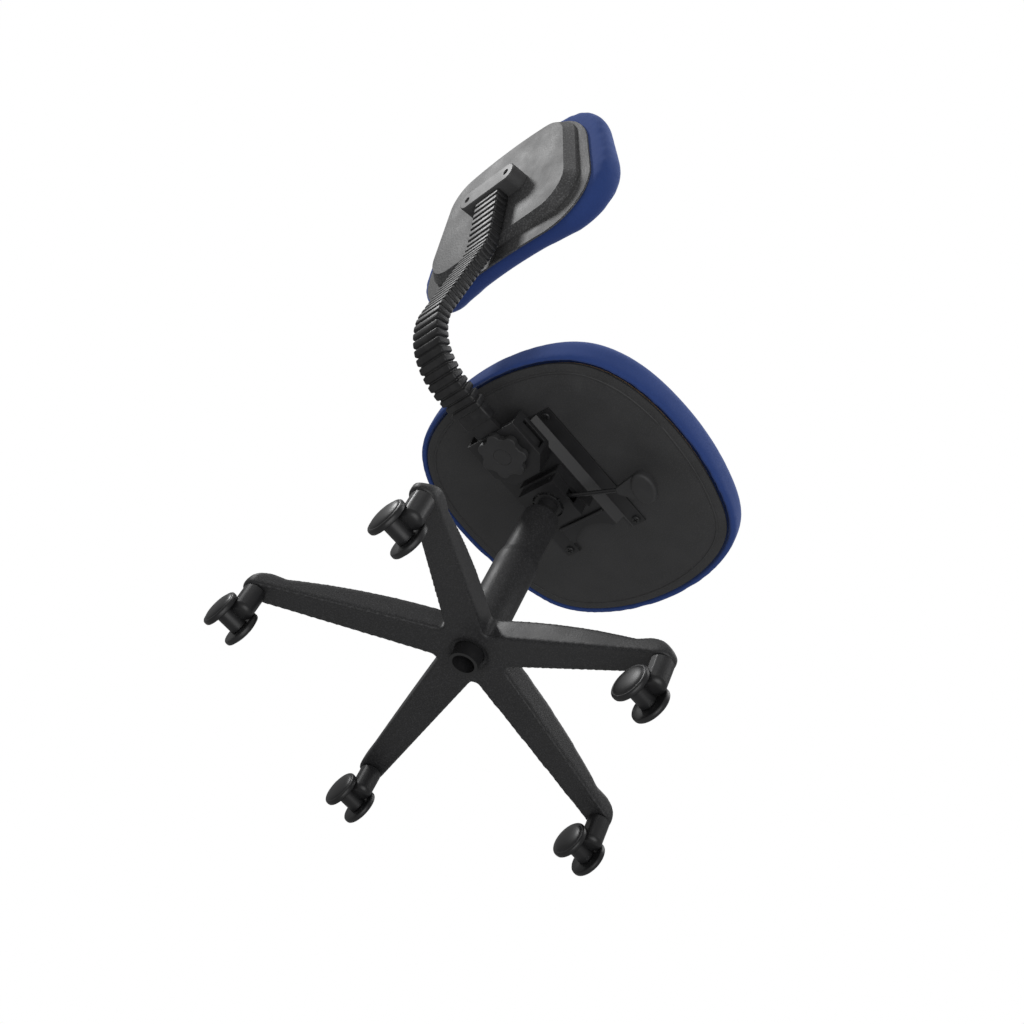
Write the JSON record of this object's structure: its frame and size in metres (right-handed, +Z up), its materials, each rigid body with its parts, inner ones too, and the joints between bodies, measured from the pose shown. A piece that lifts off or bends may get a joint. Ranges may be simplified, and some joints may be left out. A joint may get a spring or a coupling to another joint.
{
  "type": "swivel task chair",
  "caption": "Armless task chair: padded oval seat and backrest, lobed knob and height lever under the seat, gas column, five-arm base on twin-wheel casters.",
  "frame": {"origin": "where the column's axis meets the floor", "axes": "+Z up the column; the sitter faces -Y, and the backrest is on the +Y side; the lever is on the -X side"},
  "size_m": [0.58, 0.6518, 0.9348],
  "materials": {
    "base_plastic": "fine-grained nylon",
    "cover_plastic": "coarse-grained",
    "caster_plastic": "satin",
    "boss_plastic": "smooth satin",
    "knob_plastic": "matte",
    "pan_plastic": "fine grain",
    "shell_plastic": "grained",
    "bellows_rubber": "semi-gloss",
    "black_steel": "black powder coat",
    "gloss_black_steel": "gloss black",
    "black_screw": "black oxide",
    "bright_steel": "turned",
    "plywood": "raw",
    "blue_fabric": "fine woven"
  },
  "bodies": {
    "base": {"five_arm_base": "base_plastic", "caster_sockets": "bright_steel", "column_tube": "black_steel", "column_guide_bush": "knob_plastic", "piston_rod": "bright_steel", "thrust_bearing": "bright_steel", "rod_clip": "bright_steel", "lower_cover": "cover_plastic"},
    "lift": {"upper_cover": "cover_plastic"},
    "seat": {"gas_cylinder": "black_steel", "seat_plate": "black_steel", "front_lip_bar": "black_steel", "socket_housing": "black_steel", "column_socket": "black_steel", "lever_pivot_pin": "bright_steel", "back_bar_bracket": "black_steel", "bar_guide": "knob_plastic", "plate_screws": "black_screw", "t_nuts": "bright_steel", "seat_pan": "pan_plastic", "seat_board": "plywood", "seat_cushion": "blue_fabric"},
    "release_pin": {"release_pin": "bright_steel"},
    "lever": {"lever_rod": "gloss_black_steel", "lever_paddle": "knob_plastic"},
    "knob": {"back_knob": "knob_plastic", "knob_cap": "knob_plastic", "knob_stud": "bright_steel"},
    "back": {"back_bar": "black_steel", "bar_bellows": "bellows_rubber", "back_shell": "shell_plastic", "back_board": "plywood", "back_cushion": "blue_fabric", "back_boss": "boss_plastic", "boss_screws": "black_screw"},
    "caster_1": {"caster_fork_1": "caster_plastic", "caster_pins_1": "bright_steel"},
    "wheel_1_left": {"caster_wheel_1_left": "caster_plastic"},
    "wheel_1_right": {"caster_wheel_1_right": "caster_plastic"},
    "caster_2": {"caster_fork_2": "caster_plastic", "caster_pins_2": "bright_steel"},
    "wheel_2_left": {"caster_wheel_2_left": "caster_plastic"},
    "wheel_2_right": {"caster_wheel_2_right": "caster_plastic"},
    "caster_3": {"caster_fork_3": "caster_plastic", "caster_pins_3": "bright_steel"},
    "wheel_3_left": {"caster_wheel_3_left": "caster_plastic"},
    "wheel_3_right": {"caster_wheel_3_right": "caster_plastic"},
    "caster_4": {"caster_fork_4": "caster_plastic", "caster_pins_4": "bright_steel"},
    "wheel_4_left": {"caster_wheel_4_left": "caster_plastic"},
    "wheel_4_right": {"caster_wheel_4_right": "caster_plastic"},
    "caster_5": {"caster_fork_5": "caster_plastic", "caster_pins_5": "bright_steel"},
    "wheel_5_left": {"caster_wheel_5_left": "caster_plastic"},
    "wheel_5_right": {"caster_wheel_5_right": "caster_plastic"}
  },
  "joints": [
    {"name": "seat_height", "type": "slide", "parent": "base", "child": "lift", "axis": [0, 0, 1], "range_m": [-0.06, 0.05]},
    {"name": "seat_swivel", "type": "hinge", "parent": "lift", "child": "seat", "pos_m": [0, 0, 0.3], "axis": [0, 0, 1], "continuous": true},
    {"name": "lever_lift", "type": "hinge", "parent": "seat", "child": "lever", "pos_m": [-0.024, -0.0045, 0.42], "axis": [0, 1, 0], "range_deg": [0, 7], "stiffness_Nm_per_rad": 0.6},
    {"name": "release_pin_travel", "type": "slide", "parent": "seat", "child": "release_pin", "axis": [0, 0, -1], "range_m": [0, 0.0033]},
    {"name": "back_knob_turn", "type": "hinge", "parent": "seat", "child": "knob", "pos_m": [0, 0.096, 0.41], "axis": [0, 0, -1], "range_deg": [0, 540]},
    {"name": "back_depth", "type": "slide", "parent": "seat", "child": "back", "axis": [0, 1, 0], "range_m": [-0.012, 0.024]},
    {"name": "caster_swivel_1", "type": "hinge", "parent": "base", "child": "caster_1", "pos_m": [0, -0.275, 0.07], "axis": [0, 0, 1], "continuous": true},
    {"name": "wheel_spin_1_left", "type": "hinge", "parent": "caster_1", "child": "wheel_1_left", "pos_m": [0.014, -0.275, 0.0255], "axis": [0, 1, 0], "continuous": true},
    {"name": "wheel_spin_1_right", "type": "hinge", "parent": "caster_1", "child": "wheel_1_right", "pos_m": [0.014, -0.275, 0.0255], "axis": [0, 1, 0], "continuous": true},
    {"name": "caster_swivel_2", "type": "hinge", "parent": "base", "child": "caster_2", "pos_m": [0.26154, -0.08498, 0.07], "axis": [0, 0, 1], "continuous": true},
    {"name": "wheel_spin_2_left", "type": "hinge", "parent": "caster_2", "child": "wheel_2_left", "pos_m": [0.27554, -0.08498, 0.0255], "axis": [0, 1, 0], "continuous": true},
    {"name": "wheel_spin_2_right", "type": "hinge", "parent": "caster_2", "child": "wheel_2_right", "pos_m": [0.27554, -0.08498, 0.0255], "axis": [0, 1, 0], "continuous": true},
    {"name": "caster_swivel_3", "type": "hinge", "parent": "base", "child": "caster_3", "pos_m": [0.16164, 0.22248, 0.07], "axis": [0, 0, 1], "continuous": true},
    {"name": "wheel_spin_3_left", "type": "hinge", "parent": "caster_3", "child": "wheel_3_left", "pos_m": [0.17564, 0.22248, 0.0255], "axis": [0, 1, 0], "continuous": true},
    {"name": "wheel_spin_3_right", "type": "hinge", "parent": "caster_3", "child": "wheel_3_right", "pos_m": [0.17564, 0.22248, 0.0255], "axis": [0, 1, 0], "continuous": true},
    {"name": "caster_swivel_4", "type": "hinge", "parent": "base", "child": "caster_4", "pos_m": [-0.16164, 0.22248, 0.07], "axis": [0, 0, 1], "continuous": true},
    {"name": "wheel_spin_4_left", "type": "hinge", "parent": "caster_4", "child": "wheel_4_left", "pos_m": [-0.14764, 0.22248, 0.0255], "axis": [0, 1, 0], "continuous": true},
    {"name": "wheel_spin_4_right", "type": "hinge", "parent": "caster_4", "child": "wheel_4_right", "pos_m": [-0.14764, 0.22248, 0.0255], "axis": [0, 1, 0], "continuous": true},
    {"name": "caster_swivel_5", "type": "hinge", "parent": "base", "child": "caster_5", "pos_m": [-0.26154, -0.08498, 0.07], "axis": [0, 0, 1], "continuous": true},
    {"name": "wheel_spin_5_left", "type": "hinge", "parent": "caster_5", "child": "wheel_5_left", "pos_m": [-0.24754, -0.08498, 0.0255], "axis": [0, 1, 0], "continuous": true},
    {"name": "wheel_spin_5_right", "type": "hinge", "parent": "caster_5", "child": "wheel_5_right", "pos_m": [-0.24754, -0.08498, 0.0255], "axis": [0, 1, 0], "continuous": true}
  ],
  "couplings": [
    {"joint": "release_pin_travel", "follows": "lever_lift", "m_per_rad": 0.026}
  ]
}
